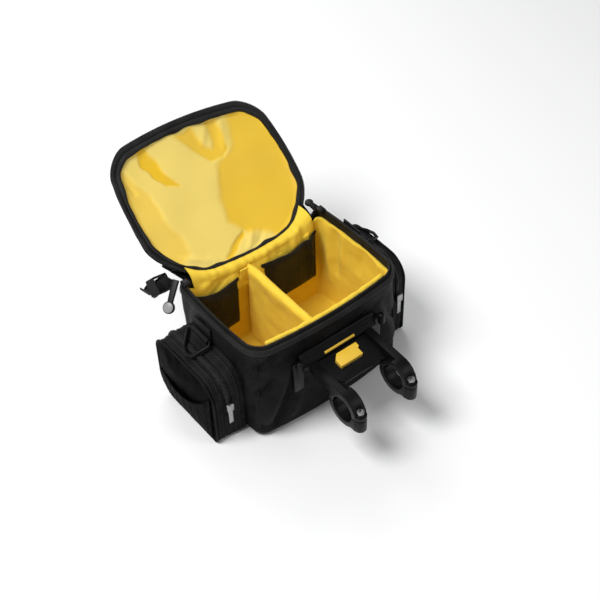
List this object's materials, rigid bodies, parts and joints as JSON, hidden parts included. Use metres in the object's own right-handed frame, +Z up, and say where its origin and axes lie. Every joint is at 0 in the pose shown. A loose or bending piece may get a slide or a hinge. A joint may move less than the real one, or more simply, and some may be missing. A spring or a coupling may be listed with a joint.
{
  "type": "bicycle handlebar bag",
  "caption": "Boxy padded handlebar bag with an open hinged lid, side pockets, inner divider and a quick-release bar bracket.",
  "frame": {"origin": "on the floor that the bag stands on, under the middle of its main compartment", "axes": "+X along the handlebar to the rider's right, +Y the way the bicycle travels, +Z up"},
  "size_m": [0.3031, 0.3948, 0.2456],
  "materials": {
    "black_cloth": "black coated nylon weave, slightly shiny",
    "black_mesh": "black knitted net",
    "black_webbing": "black ribbed webbing",
    "yellow_padding": "brushed yellow padded cloth",
    "yellow_lining": "loose, thin yellow nylon with a soft sheen",
    "black_zip_tape": "black woven tape with a nylon coil",
    "black_plastic": "black moulded plastic, fine grain",
    "yellow_plastic": "yellow moulded plastic, satin",
    "bright_metal": "bright zinc and steel"
  },
  "bodies": {
    "bag": {"body_shell": "black_cloth", "liner": "yellow_padding", "rear_pad": "yellow_padding", "divider": "yellow_padding", "divider_tab": "yellow_padding", "inner_mesh_left": "black_mesh", "inner_mesh_right": "black_mesh", "rim_zip": "black_zip_tape", "lid_shell": "black_cloth", "lid_lining": "yellow_lining", "lid_band": "black_zip_tape", "lid_zip": "black_zip_tape", "hinge_strip": "black_cloth", "left_lid_slider": "black_plastic", "right_lid_slider": "black_plastic", "left_lid_pull": "black_plastic", "right_lid_pull": "black_plastic", "left_pocket": "black_cloth", "right_pocket": "black_cloth", "left_pocket_mesh": "black_mesh", "right_pocket_mesh": "black_mesh", "left_pocket_zip": "black_zip_tape", "right_pocket_zip": "black_zip_tape", "left_pocket_slider": "bright_metal", "right_pocket_slider": "bright_metal", "left_pocket_pull": "bright_metal", "right_pocket_pull": "bright_metal", "left_strap_web": "black_webbing", "right_strap_web": "black_webbing", "left_strap_ring": "black_plastic", "right_strap_ring": "black_plastic", "strap_bundle": "black_webbing", "bundle_loop": "black_webbing", "mounting_frame": "black_plastic", "lock_mark": "yellow_plastic", "bracket_arms": "black_plastic", "bracket_plate": "black_plastic", "left_jaw_cap": "black_plastic", "right_jaw_cap": "black_plastic", "left_bolt": "bright_metal", "right_bolt": "bright_metal"},
    "button": {"release_button": "yellow_plastic"}
  },
  "joints": [
    {"name": "button_press", "type": "slide", "parent": "bag", "child": "button", "axis": [0, 0.1392, -0.9903], "range_m": [0, 0.003], "stiffness_N_per_m": 400}
  ]
}
